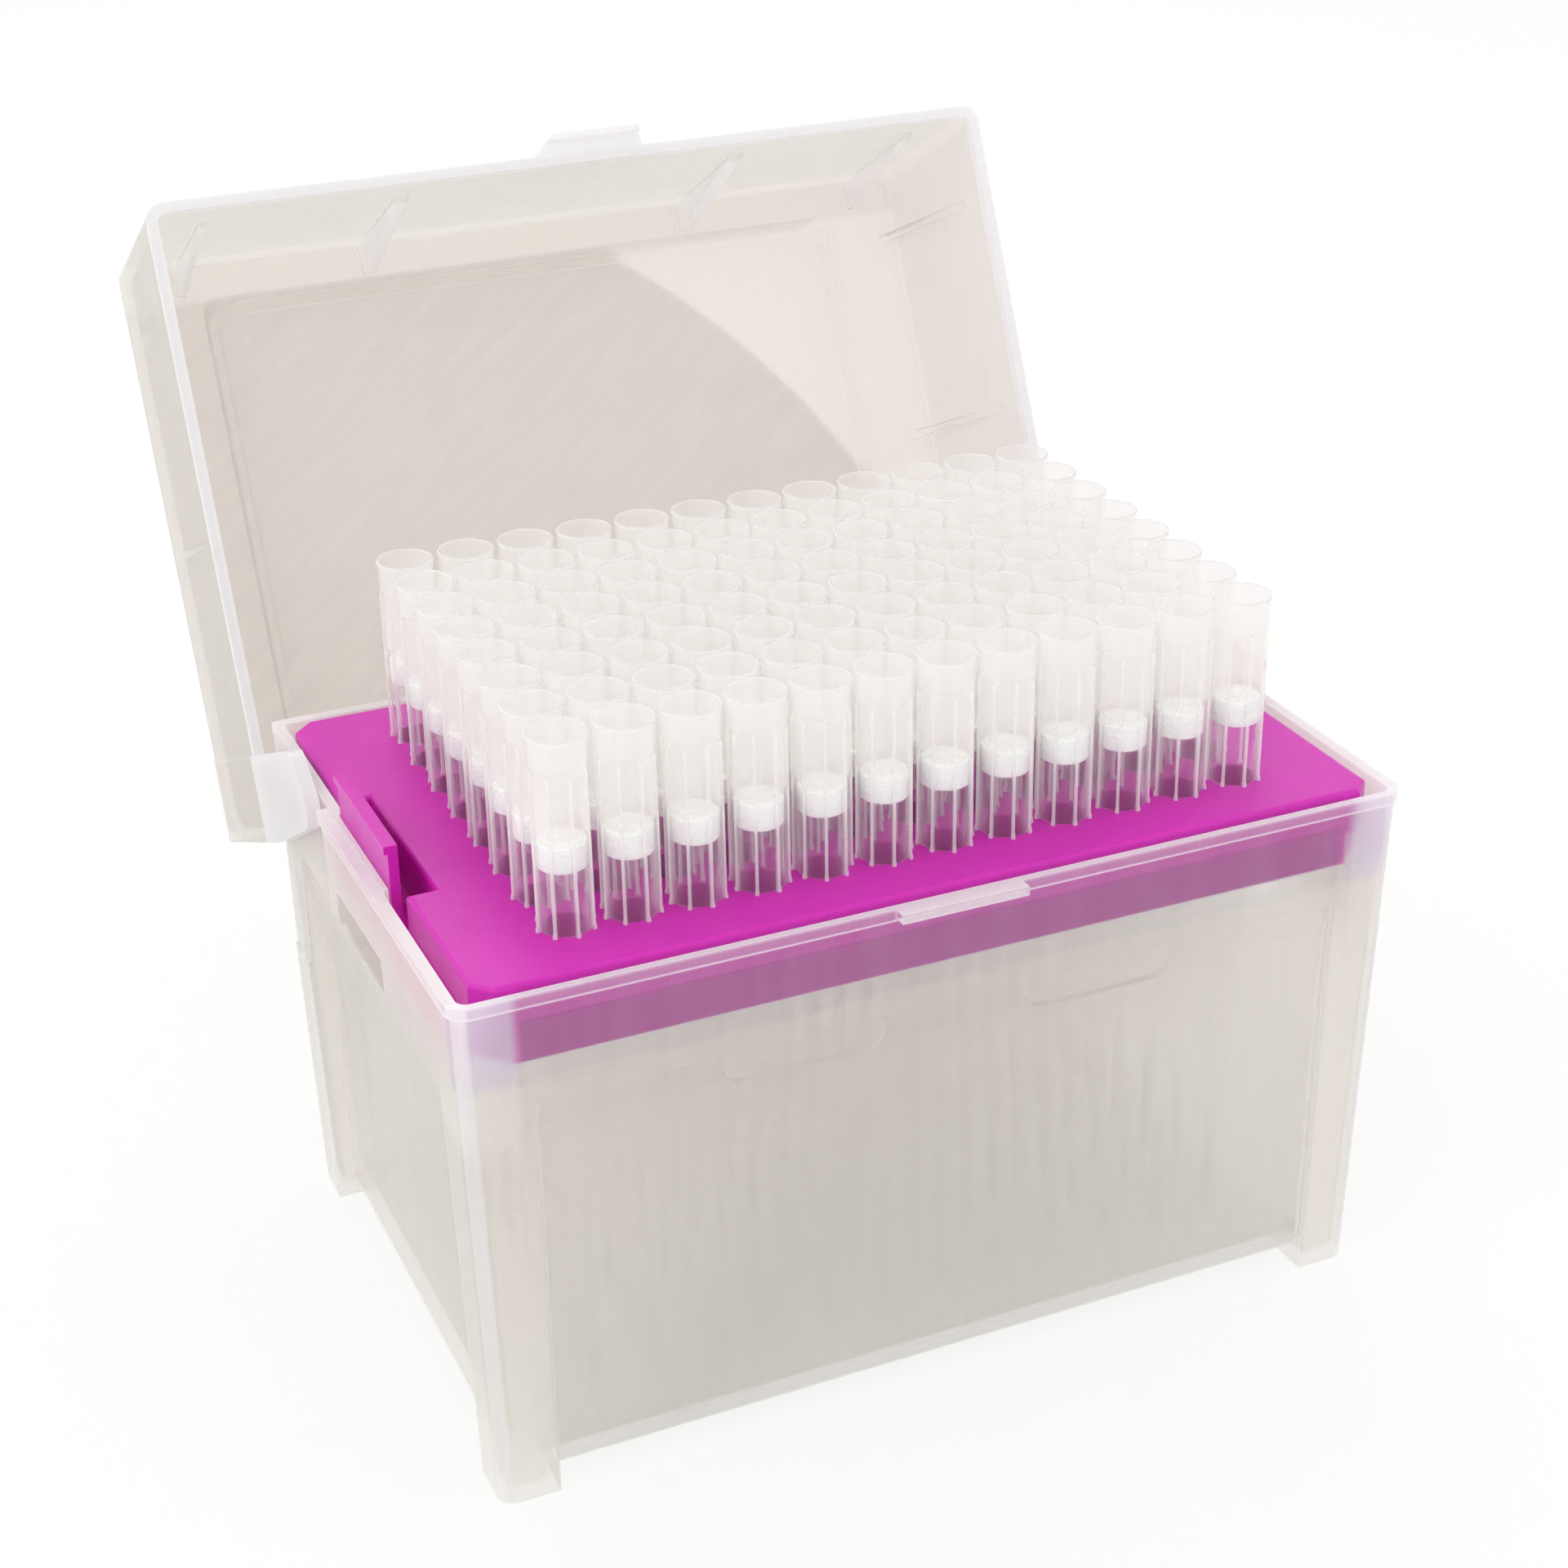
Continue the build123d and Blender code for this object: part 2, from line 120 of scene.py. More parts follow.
@dataclass
class Shader:
    """A material or a world under construction, with short calls to add and join its nodes.

    Attributes:
        name: The material's name.
        owner: What the nodes belong to, which is a new material unless it is given.
    """

    name: str
    owner: Any = None

    def __post_init__(self) -> None:
        """Starts an empty node tree."""
        self.owner = self.owner or bpy.data.materials.new(self.name)
        self.owner.use_nodes = True
        self.owner.node_tree.nodes.clear()

    def add(self, kind: str, values: dict[Any, Any] | None = None, **settings: Any) -> bpy.types.Node:
        """Adds one node.

        Args:
            kind: The node's class name in Blender.
            values: Input name or number to the constant it is set to.
            **settings: Attributes of the node itself.

        Returns:
            The new node.
        """
        node = self.owner.node_tree.nodes.new(kind)
        for attribute, value in settings.items():
            setattr(node, attribute, value)
        for socket, value in (values or {}).items():
            node.inputs[socket].default_value = value
        return node

    def join(self, source: Any, target: bpy.types.NodeSocket) -> None:
        """Links to an input socket.

        Args:
            source: A socket, or a node whose first output is meant.
            target: The input socket.
        """
        output = source if isinstance(source, bpy.types.NodeSocket) else source.outputs[0]
        self.owner.node_tree.links.new(output, target)

    def noise(
        self, scale: float, detail: float = 2.0, stretch: Triple = (1.0, 1.0, 1.0)
    ) -> bpy.types.Node:
        """Noise over the piece's own coordinates.

        Args:
            scale: Cells per metre.
            detail: Octaves of finer noise.
            stretch: Scale of each axis, to draw the pattern out.

        Returns:
            The noise node.
        """
        mapping = self.add("ShaderNodeMapping", {"Scale": stretch})
        self.join(self.point(), mapping.inputs["Vector"])
        node = self.add("ShaderNodeTexNoise", {"Scale": scale, "Detail": detail})
        self.join(mapping, node.inputs["Vector"])
        return node

    def spread(self, source: Any, low: float, high: float) -> bpy.types.Node:
        """Maps noise from its usual middle range to low..high.

        Args:
            source: The noise.
            low: The result at the range's lower end.
            high: The result at its upper end.

        Returns:
            The map node.
        """
        values = {"From Min": NOISE_LOW, "From Max": NOISE_HIGH, "To Min": low, "To Max": high}
        node = self.add("ShaderNodeMapRange", values)
        self.join(source, node.inputs["Value"])
        return node

    def bump(self, source: Any, distance: float, strength: float = 1.0) -> bpy.types.Node:
        """A bump node fed by a height.

        Args:
            source: The height.
            distance: Depth of a full step, in metres.
            strength: Share of that depth.

        Returns:
            The bump node.
        """
        node = self.add("ShaderNodeBump", {"Distance": distance, "Strength": strength})
        self.join(source, node.inputs["Height"])
        return node

    def sheen(self, square: float, grazing: float) -> bpy.types.Node:
        """Share of mirrored light on a thin wall, the same from either side.

        Args:
            square: Share seen square to the surface.
            grazing: Share seen along the surface.

        Returns:
            The node that gives the share.
        """
        facing = self.add("ShaderNodeLayerWeight", {"Blend": 0.5}).outputs["Facing"]
        power = self.add("ShaderNodeMath", {1: 5.0}, operation="POWER")
        self.join(facing, power.inputs[0])
        share = self.add("ShaderNodeMapRange", {"To Min": square, "To Max": grazing})
        self.join(power, share.inputs["Value"])
        return share

    def math(self, operation: str, first: Any, second: Any) -> bpy.types.Node:
        """Joins two values by one sum.

        Args:
            operation: The sum's name in Blender.
            first: A number, or the node or socket that gives one.
            second: The same.

        Returns:
            The node that gives the result.
        """
        node = self.add("ShaderNodeMath", operation=operation)
        for index, value in enumerate((first, second)):
            if isinstance(value, (int, float)):
                node.inputs[index].default_value = value
            else:
                self.join(value, node.inputs[index])
        return node

    def ramp(
        self, source: Any, start: float, stop: float, low: float = 0.0, high: float = 1.0
    ) -> bpy.types.Node:
        """Maps start..stop smoothly to low..high and holds the ends.

        Args:
            source: The value that is mapped.
            start: The value that gives low.
            stop: The value that gives high, which may be the smaller of the two.
            low: The result at the start.
            high: The result at the stop.

        Returns:
            The map node.
        """
        values = {"From Min": start, "From Max": stop, "To Min": low, "To Max": high}
        node = self.add("ShaderNodeMapRange", values, interpolation_type="SMOOTHSTEP")
        self.join(source, node.inputs["Value"])
        return node

    def tint(self, share: Any, first: Any, second: Any) -> bpy.types.NodeSocket:
        """Mixes two colours.

        Args:
            share: The second colour's share.
            first: The colour at share 0, as numbers or as a socket.
            second: The colour at share 1, the same.

        Returns:
            The socket that gives the mixed colour.
        """
        node = self.add("ShaderNodeMix", data_type="RGBA")
        self.join(share, node.inputs["Factor"])
        for socket, colour in ((node.inputs[6], first), (node.inputs[7], second)):
            if isinstance(colour, tuple):
                socket.default_value = (*colour, 1.0)
            else:
                self.join(colour, socket)
        return node.outputs[2]

    def edges(self, reach: float) -> bpy.types.Node:
        """Marks a strip along the piece's sharp edges.

        Args:
            reach: The strip's width, in metres.

        Returns:
            The node that gives 1 on an edge and 0 elsewhere.
        """
        soft = self.add("ShaderNodeBevel", {"Radius": reach}, samples=3)
        sharp = self.add("ShaderNodeNewGeometry").outputs["Normal"]
        match = self.add("ShaderNodeVectorMath", operation="DOT_PRODUCT")
        self.join(soft, match.inputs[0])
        self.join(sharp, match.inputs[1])
        flat, turned = 0.995, 0.86
        return self.ramp(match.outputs["Value"], flat, turned)

    def point(self) -> bpy.types.NodeSocket:
        """The socket that gives the point's place on the piece."""
        return self.add("ShaderNodeTexCoord").outputs["Object"]

    def split(self, vector: bpy.types.NodeSocket) -> Place:
        """Splits a vector.

        Args:
            vector: The socket that gives it.

        Returns:
            The sockets of its X, Y and Z.
        """
        node = self.add("ShaderNodeSeparateXYZ")
        self.join(vector, node.inputs[0])
        return Place(*node.outputs)

    def size(self, value: Any) -> bpy.types.Node:
        """The node that gives a value without its sign."""
        return self.math("ABSOLUTE", value, 0.0)

    def fade(self, mask: Any, left: float) -> bpy.types.Node:
        """The node that gives 1 where a mask is 0, and `left` where it is 1."""
        return self.ramp(mask, 0.0, 1.0, 1.0, left)

    def product(self, *parts: Any) -> Any:
        """Multiplies masks together.

        Args:
            *parts: The masks.

        Returns:
            The node that gives their product.
        """
        total = parts[0]
        for part in parts[1:]:
            total = self.math("MULTIPLY", total, part)
        return total

    def closed_place(self, pivot: Triple, angle: float) -> bpy.types.NodeSocket:
        """The point's place once the piece is turned about an axis along X.

        Args:
            pivot: A point of the axis.
            angle: The turn, in radians.

        Returns:
            The socket that gives the place.
        """
        values = {"Center": pivot, "Axis": (1.0, 0.0, 0.0), "Angle": angle}
        turn = self.add("ShaderNodeVectorRotate", values, rotation_type="AXIS_ANGLE")
        self.join(self.point(), turn.inputs["Vector"])
        return turn.outputs["Vector"]

    def mix(self, share: Any, first: bpy.types.Node, second: bpy.types.Node) -> bpy.types.Node:
        """Mixes two shaders.

        Args:
            share: The second shader's share, a number or a socket's node.
            first: The shader at share 0.
            second: The shader at share 1.

        Returns:
            The mix node.
        """
        node = self.add("ShaderNodeMixShader")
        if isinstance(share, (int, float)):
            node.inputs["Fac"].default_value = share
        else:
            self.join(share, node.inputs["Fac"])
        self.join(first, node.inputs[1])
        self.join(second, node.inputs[2])
        return node

    def finish(self, surface: bpy.types.Node) -> bpy.types.Material:
        """Sends a shader to the surface output.

        Args:
            surface: The shader.

        Returns:
            The finished material.
        """
        output = self.add("ShaderNodeOutputMaterial")
        self.join(surface, output.inputs["Surface"])
        return self.owner


# ---------------------------------------------------------------- finishes


def shade(colour: Colour, share: float) -> Colour:
    """A colour brought down to a share of itself."""
    return tuple(share * part for part in colour)


@dataclass(frozen=True)
class FrostedShell:
    """Natural polypropylene, moulded with a fine matt surface that blurs what is behind it.

    Attributes:
        name: The material's name.
        milk: Colour of the light it scatters.
        warm: The same where the plastic is a little thicker.
        edge: The same along its thin edges, lighter there as a painted highlight.
        clarity: Share of light that goes through one face.
        straight: Share of that light that stays unblurred.
        blur: Roughness of the rest.
        reach: Width of the painted edge highlights, in metres.
        edge_open: Share of the clarity that is left on them.
        lets_through: Share of a lamp's light that crosses one face beyond the clear share.
        unevenness: How far the clarity strays either way, in streaks.
    """

    name: str
    milk: Colour = (0.94, 0.92, 0.86)
    warm: Colour = (0.94, 0.895, 0.85)
    edge: Colour = (0.97, 0.965, 0.98)
    clarity: float = 0.71
    straight: float = 0.62
    blur: float = 0.34
    reach: float = 0.0005
    edge_open: float = 0.45
    lets_through: float = 0.0
    unevenness: float = 0.02

    def tone(self, s: Shader) -> Any:
        """The milk's colour before the edges."""
        return s.tint(s.spread(s.noise(22.0, 2.0), 0.0, 1.0), self.milk, self.warm)

    def openness(self, s: Shader) -> Any:
        """The share of light that goes through, before the edges."""
        streaks = s.noise(260.0, 3.0, (1.0, 1.0, 0.16))
        return s.spread(streaks, self.clarity - self.unevenness, self.clarity + self.unevenness)

    def line(self, s: Shader) -> Any:
        """Where the painted edge highlights are."""
        return s.edges(self.reach)

    def build(self) -> bpy.types.Material:
        """Builds the finish and returns its material."""
        s = Shader(self.name)
        # Painted highlight: along the sharp edges the colour turns to the lighter edge colour and the
        # plastic is less clear.
        edge = self.line(s)
        colour = s.tint(edge, self.tone(s), self.edge)
        dent = s.bump(s.noise(2600.0, 2.0), 0.0001, 0.25)
        matt = {"Roughness": 0.42, "IOR": PLASTIC_IOR, "Specular IOR Level": 0.4}
        face = s.add("ShaderNodeBsdfPrincipled", matt)
        glow = s.add("ShaderNodeBsdfTranslucent")
        for scatter, socket in ((face, "Base Color"), (glow, "Color")):
            s.join(colour, scatter.inputs[socket])
            s.join(dent, scatter.inputs["Normal"])
        clear = s.add("ShaderNodeBsdfTransparent", {"Color": (0.995, 0.99, 0.98, 1.0)})
        bent = {"Color": (0.99, 0.98, 0.965, 1.0), "Roughness": self.blur, "IOR": 1.16}
        rough = s.add("ShaderNodeBsdfRefraction", bent)
        through = s.mix(1.0 - self.straight, clear, rough)
        share = s.math("MULTIPLY", self.openness(s), s.fade(edge, self.edge_open))
        body = s.mix(share, s.mix(0.5, face, glow), through)
        gloss = s.add("ShaderNodeBsdfGlossy", {"Color": WHITE, "Roughness": 0.22})
        s.join(dent, gloss.inputs["Normal"])
        shine = s.mix(s.sheen(0.02, 0.4), body, gloss)
        shadow = s.add("ShaderNodeLightPath").outputs["Is Shadow Ray"]
        return s.finish(s.mix(s.math("MULTIPLY", shadow, self.lets_through), shine, clear))


@dataclass(frozen=True)
class BaseShell(FrostedShell):
    """The shell's plastic with the base's thin front wall and its thick rim and corners.

    Attributes:
        wall: The front wall's milk at its top.
        wall_foot_shade: The same at its foot; between the two the wall darkens downwards, a painted
            shade.
        band: The milk of the band above it, under the rim.
        half_x: Half the wall's width between the columns.
        depth: How far back the front wall reaches.
        top: Height of the wall's upper end.
        rim: Height of the rim's lower edge.
        rim_open: Share of the clarity that is left in the rim.
        corner: How far out the round corners start at the ground, along X, -Y and +Y.
        lean: How much further out they start for each unit of height, the same way.
        corner_open: Share of the clarity that is left in the corners.
        side_open: Share that is left in the upper side walls.
        band_open: How much clearer the thin band under the rim is at the front.
        floor_top: Height of the floor plate's top.
        floor_open: Share of the clarity that is left at the plate.
        floor_highlight: How far the strip where the floor plate meets the walls goes towards the edges'
            colour, a painted highlight.
        boss: Half the width, the foot and the top of the space that holds the front bosses.
        boss_edge: How much of the painted edge highlights is left there.
        side: Where the upper side walls start and end, out from the middle.
        side_foot: The heights between which they grow milkier.
        upright: How far from level a face may be before it stops counting as the rim's.
        upright_rim: How much of the rim's milk its upright faces get.
    """

    wall: Colour = (0.985, 0.955, 0.905)
    wall_foot_shade: Colour = (0.74, 0.745, 0.69)
    band: Colour = (0.88, 0.86, 0.95)
    half_x: float = 0.0588
    depth: float = -0.040
    top: float = 0.066
    rim: float = 0.0770
    rim_open: float = 0.25
    corner: Triple = (0.0652, 0.0414, 0.0434)
    lean: Triple = (0.024, 0.015, 0.012)
    corner_open: float = 0.4
    side_open: float = 0.5
    band_open: float = 1.24
    floor_top: float = 0.0057
    floor_open: float = 0.6
    floor_highlight: float = 0.6
    boss: Triple = (0.039, 0.0548, 0.0680)
    boss_edge: float = 0.3
    side: Pair = (0.0600, 0.0625)
    side_foot: Pair = (0.052, 0.062)
    upright: Pair = (0.4, 0.8)
    upright_rim: float = 0.25

    def _thick(self, s: Shader) -> tuple[Any, Any]:
        """Finds the thick parts.

        Args:
            s: The material under construction.

        Returns:
            Where the rim is, and where the round corners are.
        """
        at = s.split(s.point())
        facing = s.split(s.add("ShaderNodeNewGeometry").outputs["True Normal"])
        level = s.ramp(s.size(facing.z), *self.upright, self.upright_rim, 1.0)
        rim = s.product(level, s.ramp(at.z, self.rim - 0.0003, self.rim + 0.0001))
        outs = (s.size(at.x), s.math("MULTIPLY", at.y, -1.0), at.y)
        past = []
        for out, start, lean in zip(outs, self.corner, self.lean):
            rise = s.math("MULTIPLY", at.z, lean)
            past.append(s.ramp(s.math("SUBTRACT", out, rise), start - 0.0002, start + 0.0006))
        return rim, s.product(past[0], s.math("MAXIMUM", past[1], past[2]))

    def _band(self, s: Shader, at: Place) -> Any:
        """Where the thin band under the front rim is."""
        above = s.ramp(at.z, self.top - MM, self.top + MM)
        return s.product(above, s.ramp(at.y, self.depth, self.depth - 2.0 * MM))

    def _plate(self, s: Shader, at: Place) -> Any:
        """Finds where the floor plate meets the walls between the columns, a strip that gets a painted
        highlight.

        Args:
            s: The material under construction.
            at: The point's place.

        Returns:
            The mask of it.
        """
        across = s.size(at.x)
        low = s.ramp(at.z, self.floor_top + 0.0002, self.floor_top - 0.0002)
        return s.product(low, s.ramp(across, self.half_x + 0.0003, self.half_x - 0.0003))

    def line(self, s: Shader) -> Any:
        """Finds the painted edge highlights, which are fainter round the front bosses.

        Args:
            s: The material under construction.

        Returns:
            The mask of them.
        """
        at = s.split(s.point())
        half, foot, top = self.boss
        boss = s.product(
            s.ramp(s.size(at.x), half + MM, half),
            s.ramp(at.z, foot, foot + MM),
            s.ramp(at.z, top, top - MM),
        )
        return s.product(s.edges(self.reach), s.fade(boss, self.boss_edge))

    def tone(self, s: Shader) -> Any:
        """Mixes the milk's colour before the edges.

        Args:
            s: The material under construction.

        Returns:
            The colour's socket.
        """
        at = s.split(s.point())
        across = s.size(at.x)
        between = s.ramp(across, self.half_x + 0.0006, self.half_x - 0.0006)
        front = s.ramp(at.y, self.depth + MM, self.depth - MM)
        low = s.ramp(at.z, self.top + 0.003, self.top - 0.003)
        # Painted shade: the front wall darkens from its top down to its foot.
        wall = s.tint(s.ramp(at.z, self.top, 0.0), self.wall, self.wall_foot_shade)
        shell = s.tint(s.product(between, front, low), FrostedShell.tone(self, s), wall)
        shell = s.tint(self._band(s, at), shell, self.band)
        rim, corner = self._thick(s)
        # Painted highlight: the strip at the floor plate goes towards the edges' colour.
        plate = s.math("MULTIPLY", self._plate(s, at), self.floor_highlight)
        return s.tint(s.math("MAXIMUM", s.math("MAXIMUM", rim, corner), plate), shell, self.edge)

    def openness(self, s: Shader) -> Any:
        """Works out the share of light that goes through, before the edges.

        Args:
            s: The material under construction.

        Returns:
            The node that gives the share.
        """
        rim, corner = self._thick(s)
        at = s.split(s.point())
        across = s.size(at.x)
        side = s.product(s.ramp(across, *self.side), s.ramp(at.z, *self.side_foot))
        band = self._band(s, at)
        return s.product(
            FrostedShell.openness(self, s),
            s.fade(rim, self.rim_open),
            s.fade(corner, self.corner_open),
            s.fade(side, self.side_open),
            s.fade(band, self.band_open),
            s.fade(self._plate(s, at), self.floor_open),
        )


@dataclass(frozen=True)
class LidShell(FrostedShell):
    """The shell's plastic with the lid's darker, streaked top panel, a painted reflection across its
    corner and a wall on the +X side painted paler as light.

    Attributes:
        pivot: A point of the hinge's axis.
        angle: The turn that closes the lid, in radians.
        panel: The panel's milk.
        corner: The colour beyond the faint arc across the panel's corner, a painted reflection; the wall
            on the +X side takes it too, as painted light.
        strip: The milk between the front wall and the panel.
        panel_top: Height of the top's inner face when the lid is closed.
        panel_front: The panel's front edge.
        panel_left: The panel's left edge, which hardly shows.
        left_edge: How much of its painted edge highlight is left there.
        right: Where the wall on the +X side starts.
        arc: Centre and radius of the faint arc that bounds the painted reflection, seen from above.
        lip: Height of the lid's lower lip.
        inside: Where the front wall's inner face stands at the ground, and how much it leans.
        rib_back: Where the front ribs' faint hind part starts and ends.
        rib_half_x: Half the width that the ribs take, at its end and its start.
        top_open: Share of the clarity that is left in the top.
        past_open: How much clearer the top is outside its panel.
        thick_open: Share of the clarity that is left in the lip and the ribs.
        right_open: The same in the wall on the +X side.
        slant: The turn of the panel's streaks, in radians.
        squeeze: How much narrower than long they are.
    """

    pivot: Triple = (0.0, 0.0, 0.0)
    angle: float = 0.0
    panel: Colour = (0.81, 0.745, 0.695)
    corner: Colour = (0.95, 0.89, 0.86)
    strip: Colour = (0.86, 0.81, 0.745)
    panel_top: float = 0.1148
    panel_front: float = -0.0352
    panel_left: float = -0.052
    left_edge: float = 0.1
    right: float = 0.0662
    arc: Triple = (-0.058, 0.072, 0.129)
    lip: float = 0.0806
    inside: Pair = (-0.0483, 0.066)
    rib_back: Pair = (-0.0352, -0.0360)
    rib_half_x: Pair = (0.0650, 0.0640)
    top_open: float = 0.64
    past_open: float = 1.25
    thick_open: float = 0.22
    right_open: float = 0.86
    slant: float = 0.6
    squeeze: float = 7.0

    def _closed(self, s: Shader) -> Place:
        """The point's place on the closed lid."""
        return s.split(s.closed_place(self.pivot, self.angle))

    def _top(self, s: Shader, at: Place) -> Any:
        """Where the lid's top is."""
        return s.ramp(at.z, self.panel_top - 0.0012, self.panel_top + 0.0004)

    def _arc_reflection(self, s: Shader, at: Place) -> Any:
        """Finds the part beyond the arc, where the painted reflection is.

        Args:
            s: The material under construction.
            at: The point's place.

        Returns:
            The mask of it.
        """
        flat = s.add("ShaderNodeCombineXYZ")
        s.join(at.x, flat.inputs["X"])
        s.join(at.y, flat.inputs["Y"])
        x, y, radius = self.arc
        reach = s.add("ShaderNodeVectorMath", {1: (x, y, 0.0)}, operation="DISTANCE")
        s.join(flat, reach.inputs[0])
        return s.ramp(reach.outputs["Value"], radius - 0.0006, radius + 0.0006)

    def _strip(self, s: Shader, at: Place) -> Any:
        """Where the top lies in front of the panel."""
        return s.ramp(at.y, self.panel_front + 0.0006, self.panel_front - 0.0006)

    def _painted_light_right_wall(self, s: Shader, at: Place) -> Any:
        """Where the wall on the +X side is, painted paler as light."""
        return s.ramp(at.x, self.right, self.right + MM)

    def _thick(self, s: Shader, at: Place) -> Any:
        """Finds the thick parts.

        Args:
            s: The material under construction.
            at: The point's place on the closed lid.

        Returns:
            Where the lower lip and the front ribs are.
        """
        lip = s.ramp(at.z, self.lip + 0.0004, self.lip)
        start, lean = self.inside
        depth = s.math("SUBTRACT", at.y, s.math("MULTIPLY", at.z, lean))
        rib = s.product(
            s.ramp(depth, start, start + 0.0005),
            s.ramp(at.y, *self.rib_back),
            s.ramp(at.z, self.panel_top, self.panel_top - 0.0006),
            s.ramp(s.size(at.x), *self.rib_half_x),
        )
        return s.math("MAXIMUM", lip, rib)

    def line(self, s: Shader) -> Any:
        """Finds the painted edge highlights, which hardly show at the panel's left.

        Args:
            s: The material under construction.

        Returns:
            The mask of them.
        """
        at = self._closed(s)
        left = s.ramp(at.x, self.panel_left + 2.0 * MM, self.panel_left - MM)
        hidden = s.product(left, self._top(s, at))
        return s.product(s.edges(self.reach), s.fade(hidden, self.left_edge))

    def tone(self, s: Shader) -> Any:
        """Mixes the milk's colour before the edges.

        Args:
            s: The material under construction.

        Returns:
            The colour's socket.
        """
        at = self._closed(s)
        turn = s.add("ShaderNodeMapping", {"Rotation": (0.0, 0.0, self.slant)})
        slant = s.add("ShaderNodeMapping", {"Scale": (1.0, self.squeeze, 1.0)})
        s.join(s.closed_place(self.pivot, self.angle), turn.inputs["Vector"])
        s.join(turn, slant.inputs["Vector"])
        streaks = s.add("ShaderNodeTexNoise", {"Scale": 75.0, "Detail": 3.0})
        s.join(slant, streaks.inputs["Vector"])
        panel = s.tint(s.spread(streaks, 0.0, 1.0), shade(self.panel, DEEPER), self.panel)
        # Painted reflection: beyond the arc the panel takes the paler corner colour.
        panel = s.tint(self._arc_reflection(s, at), panel, self.corner)
        panel = s.tint(self._strip(s, at), panel, self.strip)
        # Painted light: the wall on the +X side takes the paler corner colour too.
        shell = s.tint(self._painted_light_right_wall(s, at), FrostedShell.tone(self, s), self.corner)
        shell = s.tint(self._thick(s, at), shell, self.edge)
        return s.tint(self._top(s, at), shell, panel)

    def openness(self, s: Shader) -> Any:
        """Works out the share of light that goes through, before the edges.

        Args:
            s: The material under construction.

        Returns:
            The node that gives the share.
        """
        at = self._closed(s)
        top = self._top(s, at)
        # Beyond the arc the top is also clearer, part of the painted reflection.
        past = s.math("MAXIMUM", self._arc_reflection(s, at), self._strip(s, at))
        return s.product(
            FrostedShell.openness(self, s),
            s.fade(top, self.top_open),
            s.fade(s.product(top, past), self.past_open),
            s.fade(self._thick(s, at), self.thick_open),
            s.fade(self._painted_light_right_wall(s, at), self.right_open),
        )


@dataclass(frozen=True)
class ClearTip:
    """Clear polished polypropylene, with a faint haze that thickens at its edges, ribs and ends.

    Attributes:
        haze: Colour of the haze in the walls.
        line: Colour of the haze where the haze mark is highest, on the mouths' rims: a greyer painted
            dark outline.
        face_on: Haze seen square to the wall.
        edge_on: Haze seen along the wall.
        lets_through: Share of a lamp's light that crosses the clear wall unbent.
        milk_lets: The same where the wall is milky.
    """

    haze: Colour = (0.965, 0.955, 0.938)
    line: Colour = (0.87, 0.87, 0.885)
    face_on: float = 0.035
    edge_on: float = 0.55
    lets_through: float = 1.0
    milk_lets: float = 0.78

    def build(self) -> bpy.types.Material:
        """Builds the finish and returns its material."""
        s = Shader("clear_tip_polypropylene")
        facing = s.add("ShaderNodeLayerWeight", {"Blend": 0.5}).outputs["Facing"]
        steep = s.math("POWER", facing, 4.0)
        wall = s.add("ShaderNodeMapRange", {"To Min": self.face_on, "To Max": self.edge_on})
        s.join(steep, wall.inputs["Value"])
        mark = s.add("ShaderNodeAttribute", attribute_name=HAZE).outputs["Fac"]
        share = s.math("MAXIMUM", wall, mark)
        # Painted shade: the rims, where the mark is highest, take the greyer line colour as a dark
        # outline.
        colour = s.tint(s.ramp(mark, 0.82, 0.9), self.haze, self.line)
        dent = s.bump(s.noise(900.0, 2.0, (1.0, 1.0, 0.05)), 0.00008, 0.2)
        matt = {"Roughness": 0.35, "IOR": PLASTIC_IOR, "Specular IOR Level": 0.2}
        haze = s.add("ShaderNodeBsdfPrincipled", matt)
        glow = s.add("ShaderNodeBsdfTranslucent")
        s.join(colour, haze.inputs["Base Color"])
        s.join(colour, glow.inputs["Color"])
        clear = s.add("ShaderNodeBsdfTransparent", {"Color": WHITE})
        body = s.mix(share, clear, s.mix(0.5, haze, glow))
        gloss = s.add("ShaderNodeBsdfGlossy", {"Color": WHITE, "Roughness": 0.08})
        s.join(dent, gloss.inputs["Normal"])
        mirrored = s.product(s.sheen(0.025, 0.5), s.ramp(mark, 0.0, 0.35, 1.0, 0.3))
        shine = s.mix(mirrored, body, gloss)
        shadow = s.add("ShaderNodeLightPath").outputs["Is Shadow Ray"]
        passed = s.ramp(mark, 0.1, 0.4, self.lets_through, self.milk_lets)
        return s.finish(s.mix(s.product(shadow, passed), shine, clear))


